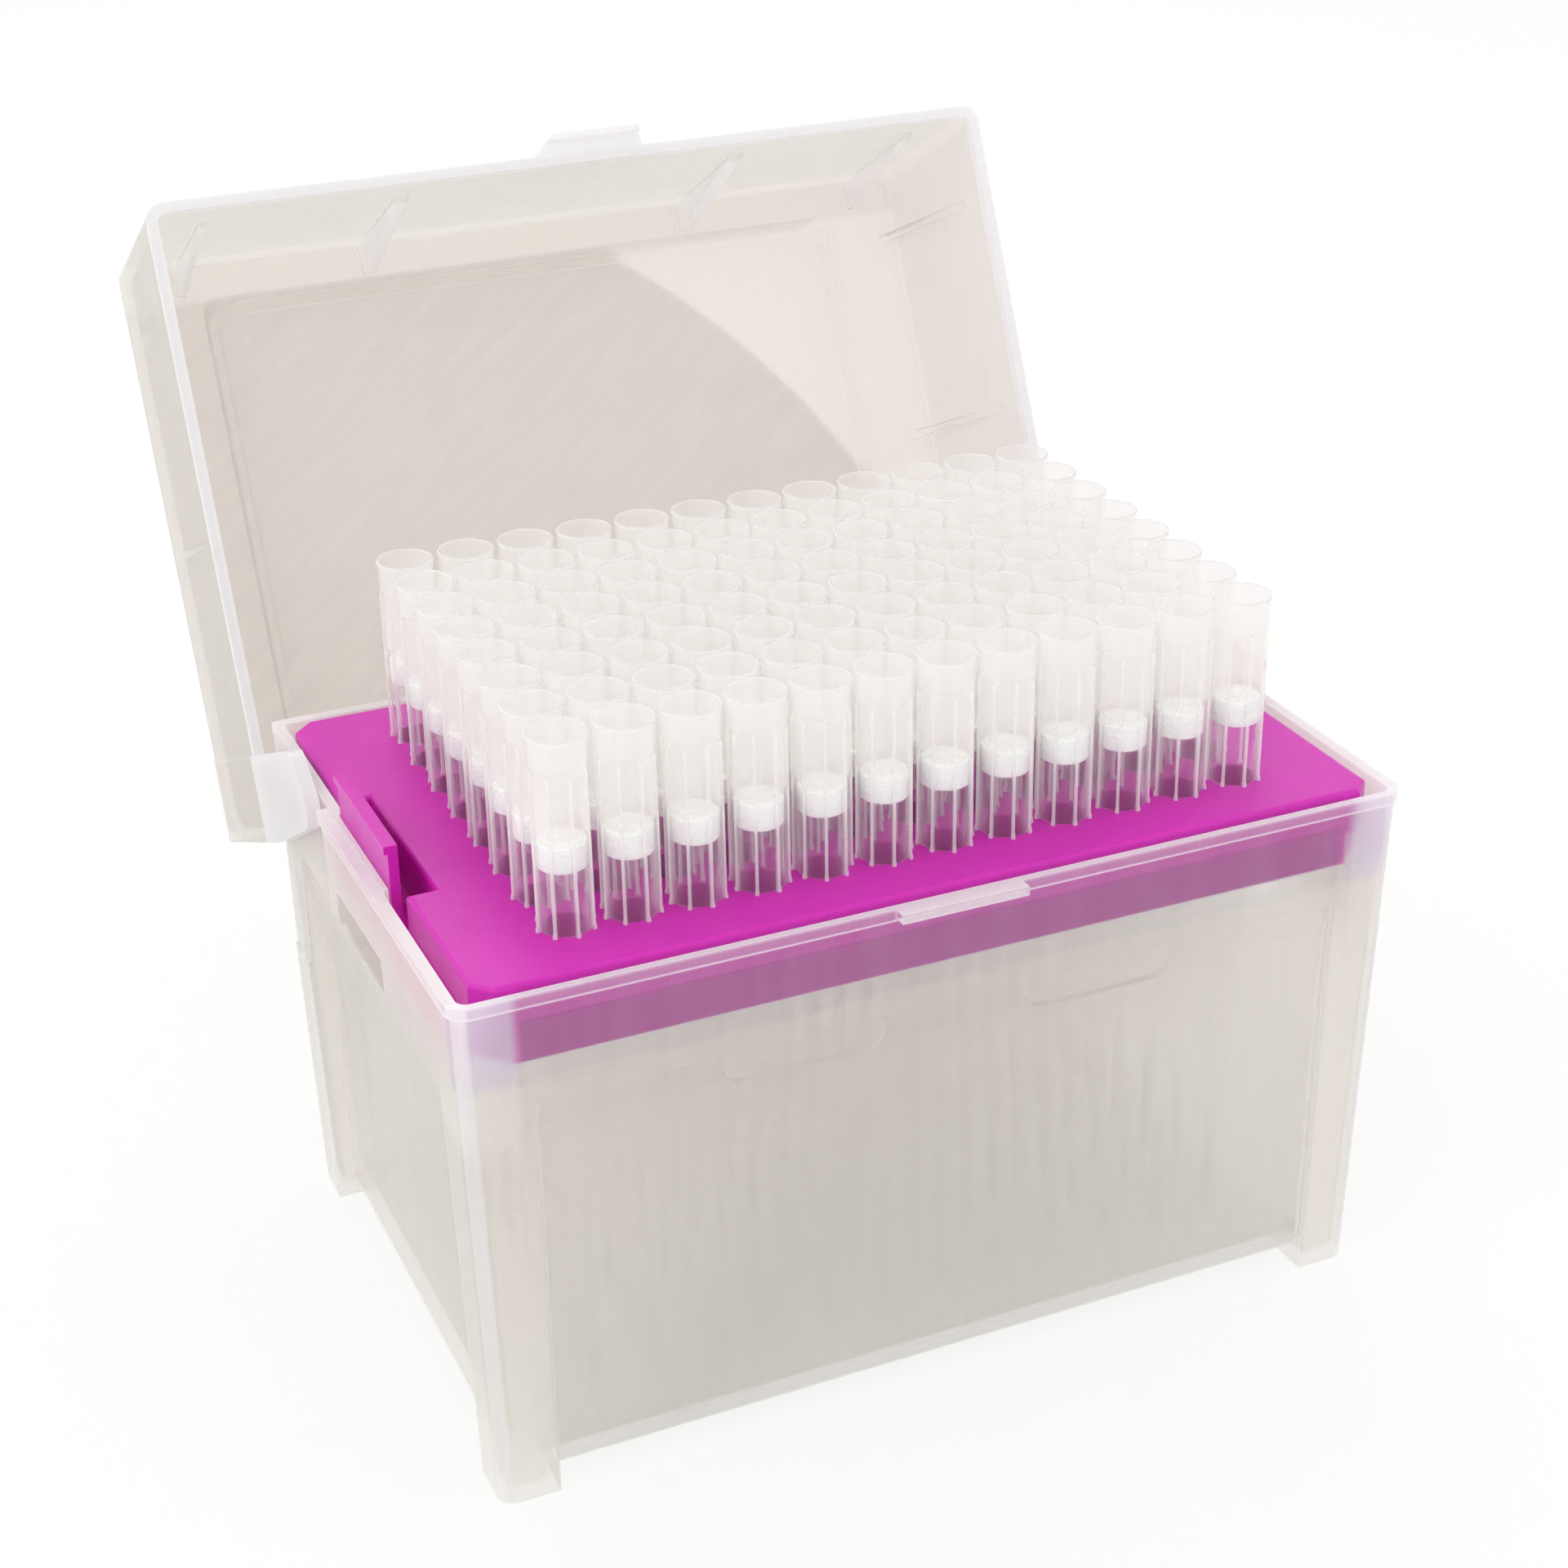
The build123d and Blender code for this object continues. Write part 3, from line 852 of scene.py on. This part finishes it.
@dataclass(frozen=True)
class TrayPlastic:
    """Opaque magenta polypropylene with a soft sheen, and painted shade on its skirt and in its holes.

    Attributes:
        colour: The pigment's colour.
        skirt: Share of it kept on the skirt and in the holes below the top face, a painted shade.
        low: The same on the skirt's lower band, a deeper painted shade.
        top: Height of the tray's top face.
        band: Height of the lower band's top.
        half_x: Half the skirt's width.
    """

    colour: Colour = (0.62, 0.016, 0.44)
    skirt: float = 0.86
    low: float = 0.60
    top: float = 0.0795
    band: float = 0.0740
    half_x: float = 0.0602

    def build(self) -> bpy.types.Material:
        """Builds the finish and returns its material."""
        s = Shader("magenta_polypropylene")
        cloud = s.spread(s.noise(60.0, 3.0), 0.0, 1.0)
        face = s.tint(cloud, shade(self.colour, DEEPER), self.colour)
        grain = s.noise(3000.0, 2.0)
        rough = s.spread(s.noise(160.0, 1.0), 0.30, 0.38)
        soft = {"Subsurface Weight": 0.12, "Subsurface Scale": 0.002}
        body = s.add("ShaderNodeBsdfPrincipled", {"IOR": PLASTIC_IOR, "Specular IOR Level": 0.35, **soft})
        body.inputs["Subsurface Radius"].default_value = (1.0, 0.3, 0.6)
        at = s.split(s.point())
        across = s.size(at.x)
        # Painted shade: below the top face, on the skirt and in the holes, the colour is darker, and
        # darker still on the lower band.
        below = s.product(
            s.ramp(at.z, self.top - 0.0001, self.top - 0.0005),
            s.ramp(across, self.half_x + 0.0004, self.half_x - 0.0004),
        )
        skirt, low = shade(self.colour, self.skirt), shade(self.colour, self.low)
        painted_skirt_shade = s.tint(s.ramp(at.z, self.band + 0.0003, self.band - 0.0003), skirt, low)
        s.join(s.tint(below, face, painted_skirt_shade), body.inputs["Base Color"])
        s.join(rough, body.inputs["Roughness"])
        s.join(s.bump(grain, 0.0001, 0.4), body.inputs["Normal"])
        return s.finish(body)


@dataclass(frozen=True)
class PorousPlug:
    """White sintered polyethylene with fine pores.

    Attributes:
        colour: The plug's colour.
        pore_shade: Share of it between the grains, a painted shade in the pores.
    """

    colour: Colour = (0.955, 0.98, 0.965)
    pore_shade: float = 0.9

    def build(self) -> bpy.types.Material:
        """Builds the finish and returns its material."""
        s = Shader("porous_filter")
        pores = s.add("ShaderNodeTexVoronoi", {"Scale": 3200.0})
        s.join(s.point(), pores.inputs["Vector"])
        soft = {"Subsurface Weight": 0.3, "Subsurface Scale": 0.001}
        body = s.add("ShaderNodeBsdfPrincipled", {"Roughness": 0.92, "Specular IOR Level": 0.2, **soft})
        depth = pores.outputs["Distance"]
        # Painted shade: the colour darkens towards the cells' borders, between the grains.
        s.join(s.tint(depth, self.colour, shade(self.colour, self.pore_shade)), body.inputs["Base Color"])
        s.join(s.bump(depth, 0.00015, 0.8), body.inputs["Normal"])
        return s.finish(body)


# ---------------------------------------------------------------- mesh making


def skin(mesh: bmesh.types.BMesh, rings: list[list[bmesh.types.BMVert]], smooth: bool) -> None:
    """Joins each ring of vertices to the next by faces.

    Args:
        mesh: The mesh that receives the faces.
        rings: The rings in order, all of one count.
        smooth: Whether the faces are shaded smooth.
    """
    for low, high in zip(rings, rings[1:]):
        for k in range(len(low)):
            step = (k + 1) % len(low)
            mesh.faces.new((low[k], low[step], high[step], high[k])).smooth = smooth


def finished(mesh: bmesh.types.BMesh, name: str) -> bpy.types.Mesh:
    """Turns a mesh under construction into Blender's own.

    Args:
        mesh: The mesh, which is freed.
        name: The new mesh's name.

    Returns:
        The new mesh.
    """
    data = bpy.data.meshes.new(name)
    mesh.to_mesh(data)
    mesh.free()
    return data


@dataclass
class Lathe:
    """A closed (radius, height) outline turned about the Z axis.

    Attributes:
        outline: Points of the outline in order, in millimetres, counted round the solid's section.
        segments: Faces round the turn.
    """

    outline: list[Pair]
    segments: int

    def add_to(self, mesh: bmesh.types.BMesh) -> None:
        """Adds the turned solid to a mesh.

        Args:
            mesh: The mesh that receives it.
        """
        rings = self.rings(mesh)
        skin(mesh, rings + rings[:1], smooth=True)

    def rings(self, mesh: bmesh.types.BMesh) -> list[list[bmesh.types.BMVert]]:
        """Adds a ring of vertices for each point of the outline.

        Args:
            mesh: The mesh that receives them.

        Returns:
            The rings, in the outline's order.
        """
        steps = range(self.segments)
        return [[mesh.verts.new(self._point(*point, k)) for k in steps] for point in self.outline]

    def _point(self, radius: float, height: float, k: int) -> Vector:
        """The outline's point after k steps of the turn, in metres."""
        angle = 2.0 * math.pi * k / self.segments
        return Vector((radius * math.cos(angle), radius * math.sin(angle), height)) * MM


@dataclass
class ColumnTree:
    """A geometry node tree that stands copies of one mesh along a column of the grid.

    Attributes:
        name: The tree's name.
        tree: The tree itself.
        sockets: Input name to the identifier that a modifier knows it by.
    """

    name: str
    tree: bpy.types.NodeTree = field(init=False)
    sockets: dict[str, str] = field(init=False, default_factory=dict)

    def __post_init__(self) -> None:
        """Builds the tree."""
        self.tree = bpy.data.node_groups.new(self.name, "GeometryNodeTree")
        kinds = {
            "Single": "Geometry",
            "Rows": "Int",
            "Start": "Vector",
            "Step": "Vector",
            "Turn": "Float",
            "Seed": "Int",
            "Finish": "Material",
        }
        add = self.tree.interface.new_socket
        for name, kind in kinds.items():
            self.sockets[name] = add(name, in_out="INPUT", socket_type=f"NodeSocket{kind}").identifier
        add("Column", in_out="OUTPUT", socket_type="NodeSocketGeometry")
        self._wire()

    def _wire(self) -> None:
        """Adds and links the tree's nodes."""
        nodes = self.tree.nodes
        link = self.tree.links.new
        given = nodes.new("NodeGroupInput")
        line = nodes.new("GeometryNodeMeshLine")
        line.mode = "OFFSET"
        link(given.outputs["Rows"], line.inputs["Count"])
        link(given.outputs["Start"], line.inputs["Start Location"])
        link(given.outputs["Step"], line.inputs["Offset"])
        chance = nodes.new("FunctionNodeRandomValue")
        chance.data_type = "FLOAT"
        link(given.outputs["Turn"], chance.inputs[3])
        link(given.outputs["Seed"], chance.inputs["Seed"])
        turn = nodes.new("ShaderNodeCombineXYZ")
        link(chance.outputs[1], turn.inputs["Z"])
        stand = nodes.new("GeometryNodeInstanceOnPoints")
        link(line.outputs["Mesh"], stand.inputs["Points"])
        link(given.outputs["Single"], stand.inputs["Instance"])
        link(turn.outputs["Vector"], stand.inputs["Rotation"])
        real = nodes.new("GeometryNodeRealizeInstances")
        link(stand.outputs["Instances"], real.inputs["Geometry"])
        dress = nodes.new("GeometryNodeSetMaterial")
        link(real.outputs["Geometry"], dress.inputs["Geometry"])
        link(given.outputs["Finish"], dress.inputs["Material"])
        result = nodes.new("NodeGroupOutput")
        link(dress.outputs["Geometry"], result.inputs["Column"])

    def grow(self, name: str, single: bpy.types.Mesh, values: dict[str, Any]) -> bpy.types.Object:
        """Runs the tree on a mesh and keeps the result as a plain mesh.

        Args:
            name: The new object's name.
            single: The mesh to copy.
            values: Input name to value.

        Returns:
            An object at the origin whose mesh is the whole column.
        """
        piece = bpy.data.objects.new(name, single)
        bpy.context.scene.collection.objects.link(piece)
        modifier = piece.modifiers.new("column", "NODES")
        modifier.node_group = self.tree
        for socket, value in values.items():
            modifier[self.sockets[socket]] = value
        graph = bpy.context.evaluated_depsgraph_get()
        grown = bpy.data.meshes.new_from_object(piece.evaluated_get(graph), depsgraph=graph)
        grown.name = name
        piece.modifiers.remove(modifier)
        piece.data = grown
        return piece


# ---------------------------------------------------------------- the grid's pieces


@dataclass
class Grid:
    """The tips' places, twelve by eight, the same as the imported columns'.

    Attributes:
        columns: Columns along X.
        rows: Rows along Y.
        pitch: Distance between neighbours.
        first_seed: The first column's seed for its random turns.
    """

    columns: int = 12
    rows: int = 8
    pitch: float = 9.0 * MM
    first_seed: int = 11

    def start(self, column: int) -> Vector:
        """Places the front tip of a column.

        Args:
            column: The column, counted from 0.

        Returns:
            The tip's place on the ground.
        """
        x = (column - (self.columns - 1) / 2) * self.pitch
        y = -(self.rows - 1) / 2 * self.pitch
        return Vector((x, y, 0.0))

    def values(self, column: int, turn: float, finish: bpy.types.Material) -> dict[str, Any]:
        """The column tree's inputs for one column.

        Args:
            column: The column, counted from 0.
            turn: Largest random turn of a copy about its own axis, in radians.
            finish: The copies' material.

        Returns:
            Input name to value.
        """
        return {
            "Rows": self.rows,
            "Start": self.start(column),
            "Step": Vector((0.0, self.pitch, 0.0)),
            "Turn": turn,
            "Seed": self.first_seed + column,
            "Finish": finish,
        }


@dataclass
class GridSet:
    """A piece that stands at every place of the grid, built one column at a time.

    Attributes:
        grid: Where the copies stand.
        called: How the columns' names start.
        node: How the names of the CAD nodes that they replace start.
        slot: The record's material slot, which is not used.
        turn: Largest random turn of a copy about its own axis, in radians.
    """

    grid: Grid
    called: str
    node: str
    slot: Slot
    turn: float

    def single(self) -> bpy.types.Mesh:
        """One copy standing at the origin, which each kind of piece makes its own way."""
        raise NotImplementedError

    def build(self, tree: ColumnTree, finish: bpy.types.Material) -> Iterable[bpy.types.Object]:
        """Builds every column.

        Args:
            tree: The column tree.
            finish: The copies' material.

        Yields:
            One object a column.
        """
        single = self.single()
        for column in range(self.grid.columns):
            number = f"{column + 1:02d}"
            values = self.grid.values(column, self.turn, finish)
            piece = tree.grow(f"{self.called}_{number}", single, values)
            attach(piece, BASE_BODY)
            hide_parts(f"{self.node}_column_{number}")
            yield piece


@dataclass
class TipSet(GridSet):
    """The clear tips: a ribbed collar above the tray and a long tapered shank below it.

    Attributes:
        tray_top: Height of the tray's top face, in millimetres.
        mouth: Height of the mouth.
        end: Height of the tapered end.
        collar: Outer radius of the collar between its ribs.
        rib_reach: Radius to the ribs' outer edge.
        rib_width: Width of a rib.
        ribs: Ribs round a collar.
        segments: Faces round a tip.
        clear_to: Height up to which the collar is clear.
        milky_from: Height from which its finer matt finish makes it milky.
        milk: How milky it is there.
        band_milk: How milky the plain band under the mouth is.
        band: Height of the plain band.
        rim_milk_and_dark_outline: How milky the mouth's rim is, which also gives it the painted dark
            outline of the line colour.
        rib_milk: How milky the ribs are.
        end_milk: How milky the tapered end is.
        shank_milk: How milky the shank is.
    """

    called: str = "clear_tips"
    node: str = "tips"
    slot: Slot = Slot.TIP
    turn: float = math.pi / 4
    tray_top: float = 79.5
    mouth: float = 107.0
    end: float = 6.7
    collar: float = 3.55
    rib_reach: float = 4.18
    rib_width: float = 0.4
    ribs: int = 8
    segments: int = 40
    clear_to: float = 91.8
    milky_from: float = 94.0
    milk: float = 0.5
    band_milk: float = 0.3
    band: float = 4.5
    rim_milk_and_dark_outline: float = 0.95
    rib_milk: float = 0.75
    end_milk: float = 0.8
    shank_milk: float = 0.05

    def outline(self) -> list[Pair]:
        """The wall's section, up the outside and down the inside, in millimetres."""
        band = self.mouth - self.band
        outside = [
            (0.44, self.end),
            (0.54, self.end + 0.12),
            (0.60, self.end + 0.6),
            (1.35, self.end + 22.0),
            (2.75, 57.0),
            (3.05, 63.0),
            (3.15, self.tray_top - 0.3),
            (3.15, self.tray_top),
            (self.collar, self.tray_top + 0.05),
            (self.collar, self.clear_to),
            (self.collar, self.milky_from),
            (self.collar, band - 0.2),
            (self.collar + 0.22, band),
            (self.collar + 0.30, band + 0.3),
            (3.95, self.mouth - 0.9),
            (4.03, self.mouth - 0.45),
            (4.05, self.mouth - 0.2),
            (3.98, self.mouth - 0.04),
        ]
        inside = [
            (3.80, self.mouth),
            (3.70, self.mouth - 0.15),
            (3.41, self.mouth - 3.5),
            (3.40, self.milky_from),
            (3.39, self.clear_to),
            (3.37, 91.5),
            (3.36, 88.3),
            (2.80, 80.0),
            (2.30, 57.0),
            (0.95, self.end + 22.0),
            (0.28, self.end + 0.3),
            (0.30, self.end + 0.02),
        ]
        return outside + inside

    def single(self) -> bpy.types.Mesh:
        """One tip standing at the origin."""
        mesh = bmesh.new()
        Lathe(self.outline(), self.segments).add_to(mesh)
        for index in range(self.ribs):
            self._add_rib(mesh, 2.0 * math.pi * (index + 0.5) / self.ribs)
        bmesh.ops.recalc_face_normals(mesh, faces=mesh.faces)
        layer = mesh.verts.layers.float.new(HAZE)
        for vert in mesh.verts:
            vert[layer] = self._haze(vert.co / MM)
        return finished(mesh, "tip")

    def _haze(self, place: Vector) -> float:
        """How milky the plastic looks at a point, beyond its plain wall.

        Args:
            place: The point, in millimetres.

        Returns:
            A share from 0 to 1.
        """
        radius = math.hypot(place.x, place.y)
        if place.z > self.mouth - 0.3 and radius > 3.9:
            return self.rim_milk_and_dark_outline
        if place.z > self.mouth - self.band - 0.1:
            return self.band_milk
        if place.z > self.milky_from - 0.1:
            return self.milk
        if place.z < self.end + 1.0:
            return self.end_milk
        if place.z < self.tray_top - 0.1:
            return self.shank_milk
        return self.rib_milk if radius > self.collar + 0.1 else 0.0

    def _add_rib(self, mesh: bmesh.types.BMesh, angle: float) -> None:
        """Adds one rib with its foot on the tray and its rounded head under the band.

        Args:
            mesh: The mesh that receives it.
            angle: The rib's bearing.
        """
        top = self.mouth - self.band
        half = self.rib_width / 2
        root = self.collar - 0.15
        foot = self.rib_reach + 0.02
        levels = [
            (self.tray_top, foot, 1.35),
            (self.tray_top + 0.35, foot, 1.3),
            (self.tray_top + 0.9, self.rib_reach - 0.12, 1.0),
            (self.clear_to, self.rib_reach - 0.15, 0.95),
            (self.milky_from, self.rib_reach - 0.16, 0.95),
            (top - 0.8, self.rib_reach - 0.18, 0.9),
            (top + 0.1, self.collar + 0.25, 0.8),
        ]
        turn = Matrix.Rotation(angle, 3, "Z")
        rings = []
        for height, reach, width in levels:
            w = half * width
            right = [(root, -w), (reach - 0.1, -w), (reach, -0.4 * w)]
            corners = right + [(x, -y) for x, y in reversed(right)]
            rings.append([mesh.verts.new(turn @ Vector((x, y, height)) * MM) for x, y in corners])
        skin(mesh, rings, smooth=False)
        mesh.faces.new(rings[0])
        mesh.faces.new(rings[-1])


@dataclass
class PlugSet(GridSet):
    """The white filter plugs inside the tips.

    Attributes:
        bottom: Height of a plug's lower face, in millimetres.
        top: Height of its upper face.
        radius: Its radius.
        edge: Rounding of its edges.
        steps: Faces along a rounding.
        segments: Faces round a plug.
    """

    called: str = "filter_plugs"
    node: str = "filters"
    slot: Slot = Slot.PLUG
    turn: float = math.pi
    bottom: float = 88.3
    top: float = 92.0
    radius: float = 3.33
    edge: float = 0.28
    steps: int = 3
    segments: int = 36

    def single(self) -> bpy.types.Mesh:
        """One plug standing at the origin."""
        r, e = self.radius, self.edge
        angles = [math.pi / 2 * k / self.steps for k in range(self.steps + 1)]
        below = [(r - e + e * math.sin(a), self.bottom + e - e * math.cos(a)) for a in angles]
        above = [(r - e + e * math.cos(a), self.top - e + e * math.sin(a)) for a in angles]
        mesh = bmesh.new()
        rings = Lathe(below + above, self.segments).rings(mesh)
        skin(mesh, rings, smooth=True)
        mesh.faces.new(rings[0])
        mesh.faces.new(rings[-1])
        bmesh.ops.recalc_face_normals(mesh, faces=mesh.faces)
        return finished(mesh, "plug")


@dataclass
class Mouldings:
    """The base, the lid and the tray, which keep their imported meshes."""

    finishes: dict[Node, bpy.types.Material]

    def dress(self) -> Iterable[bpy.types.Object]:
        """Gives each moulding its finish and yields it."""
        for node, finish in self.finishes.items():
            piece = frame["nodes"][node.value]
            piece.data.materials.clear()
            piece.data.materials.append(finish)
            yield piece


# ---------------------------------------------------------------- studio


@dataclass
class Studio:
    """A white floor and surround, soft lamps, and the camera.

    Attributes:
        eye: The camera's place.
        right: The view's rightward direction.
        up: The view's upward direction.
        lens: Focal length, in millimetres.
        sensor: Width of the sensor, in millimetres.
        floor_half: Half the floor's side.
        floor_glow: Share of plain white in the floor as it is seen.
        surround: Strength of the light from the surround.
        aim: Where the lamps point.
    """

    eye: Vector = field(default_factory=lambda: Vector((-0.14682, -0.32690, 0.25257)))
    right: Vector = field(default_factory=lambda: Vector((0.91413, -0.40507, -0.01677)))
    up: Vector = field(default_factory=lambda: Vector((0.19381, 0.40030, 0.89565)))
    lens: float = 63.81
    sensor: float = 36.0
    floor_half: float = 3.0
    floor_glow: float = 0.78
    surround: float = 0.9
    aim: Vector = field(default_factory=lambda: Vector((0.0, 0.0, 0.07)))

    def build(self) -> None:
        """Builds the whole studio."""
        self._floor()
        self._world()
        self._lamp("key", (-0.80, -0.30, 1.00), 0.9, 3.8)
        self._lamp("fill", (0.85, -0.45, 0.60), 0.9, 1.0)
        self._lamp("rear", (0.15, 0.80, 1.05), 0.8, 2.6)
        self._camera()
        bpy.context.scene.view_settings.view_transform = "Standard"
        for name, limit in TRACING.items():
            setattr(bpy.context.scene.cycles, name, limit)

    def _floor(self) -> None:
        """Adds the floor, white to the eye, which keeps the object's shadow."""
        half = self.floor_half
        data = bpy.data.meshes.new("floor")
        corners = [(-half, -half, 0), (half, -half, 0), (half, half, 0), (-half, half, 0)]
        data.from_pydata([Vector(c) for c in corners], [], [(0, 1, 2, 3)])
        floor = bpy.data.objects.new("floor", data)
        bpy.context.scene.collection.objects.link(floor)
        s = Shader("floor_white")
        paint = s.add("ShaderNodeBsdfDiffuse", {"Color": (0.90, 0.90, 0.89, 1.0)})
        light = s.add("ShaderNodeEmission", {"Color": (1.0, 1.0, 0.99, 1.0), "Strength": 1.0})
        path = s.add("ShaderNodeLightPath")
        bent = s.math("ADD", path.outputs["Is Glossy Ray"], path.outputs["Is Transmission Ray"])
        seen = s.math("MINIMUM", s.math("ADD", path.outputs["Is Camera Ray"], bent), 1.0)
        data.materials.append(s.finish(s.mix(s.math("MULTIPLY", seen, self.floor_glow), paint, light)))
        floor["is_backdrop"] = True

    def _world(self) -> None:
        """Makes the surround white to the eye and a little softer as a light."""
        world = bpy.data.worlds.new("surround")
        bpy.context.scene.world = world
        s = Shader("surround", world)
        path = s.add("ShaderNodeLightPath")
        soft = s.add("ShaderNodeBackground", {"Color": WHITE, "Strength": self.surround})
        plain = s.add("ShaderNodeBackground", {"Color": (1.0, 1.0, 0.99, 1.0), "Strength": 1.0})
        seen = path.outputs["Is Camera Ray"]
        for kind in ("Is Glossy Ray", "Is Transmission Ray"):
            seen = s.math("MAXIMUM", seen, path.outputs[kind])
        output = s.add("ShaderNodeOutputWorld")
        s.join(s.mix(seen, soft, plain), output.inputs["Surface"])

    def _lamp(self, name: str, place: Triple, size: float, power: float) -> None:
        """Adds one soft square lamp aimed at the box.

        Args:
            name: The lamp's name.
            place: Where it hangs.
            size: Side of its square.
            power: Watts.
        """
        data = bpy.data.lights.new(name, "AREA")
        data.size = size
        data.energy = power
        lamp = bpy.data.objects.new(name, data)
        lamp.location = place
        aim = self.aim - Vector(place)
        lamp.rotation_euler = aim.to_track_quat("-Z", "Y").to_euler()
        bpy.context.scene.collection.objects.link(lamp)

    def _camera(self) -> None:
        """Adds the camera."""
        data = bpy.data.cameras.new("camera")
        data.lens = self.lens
        data.sensor_width = self.sensor
        data.clip_start = 0.01
        camera = bpy.data.objects.new("camera", data)
        right, up = self.right.normalized(), self.up.normalized()
        back = right.cross(up)
        turn = Matrix((right, up, back)).transposed().to_4x4()
        camera.matrix_world = Matrix.Translation(self.eye) @ turn
        bpy.context.scene.collection.objects.link(camera)
        bpy.context.scene.camera = camera


def report(piece: bpy.types.Object) -> None:
    """Logs a finished piece's name and face count."""
    LOG.info("%s: %d faces", piece.name, len(piece.data.polygons))


def write_sizes() -> None:
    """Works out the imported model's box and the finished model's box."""
    boxes = {"cad": CAD_BOX, "visual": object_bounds()}
    plain = {name: [list(corner) for corner in box] for name, box in boxes.items()}


def main() -> None:
    """Builds and dresses every piece in order."""
    logging.basicConfig(level=logging.INFO, format="%(name)s %(message)s")
    hinge = next(joint for joint in frame["joints"] if joint["name"] == HINGE)
    lid = LidShell("frosted_lid", pivot=tuple(hinge["pos_m"]), angle=math.radians(hinge["range_deg"][1]))
    base = BaseShell(
        "frosted_base",
        milk=(0.97, 0.955, 0.90),
        warm=(0.97, 0.935, 0.895),
        edge=(0.99, 0.985, 0.995),
        straight=0.76,
        blur=0.28,
        reach=0.0007,
        edge_open=0.3,
        lets_through=0.5,
    )
    tray = TrayPlastic()
    mouldings = Mouldings({Node.BASE: base.build(), Node.LID: lid.build(), Node.TRAY: tray.build()})
    for piece in mouldings.dress():
        report(piece)
    grid = Grid()
    tree = ColumnTree("stand_in_a_column")
    for pieces, finish in ((TipSet(grid), ClearTip()), (PlugSet(grid), PorousPlug())):
        for piece in pieces.build(tree, finish.build()):
            report(piece)
    Studio().build()
    write_sizes()


if __name__ == "__main__":
    main()
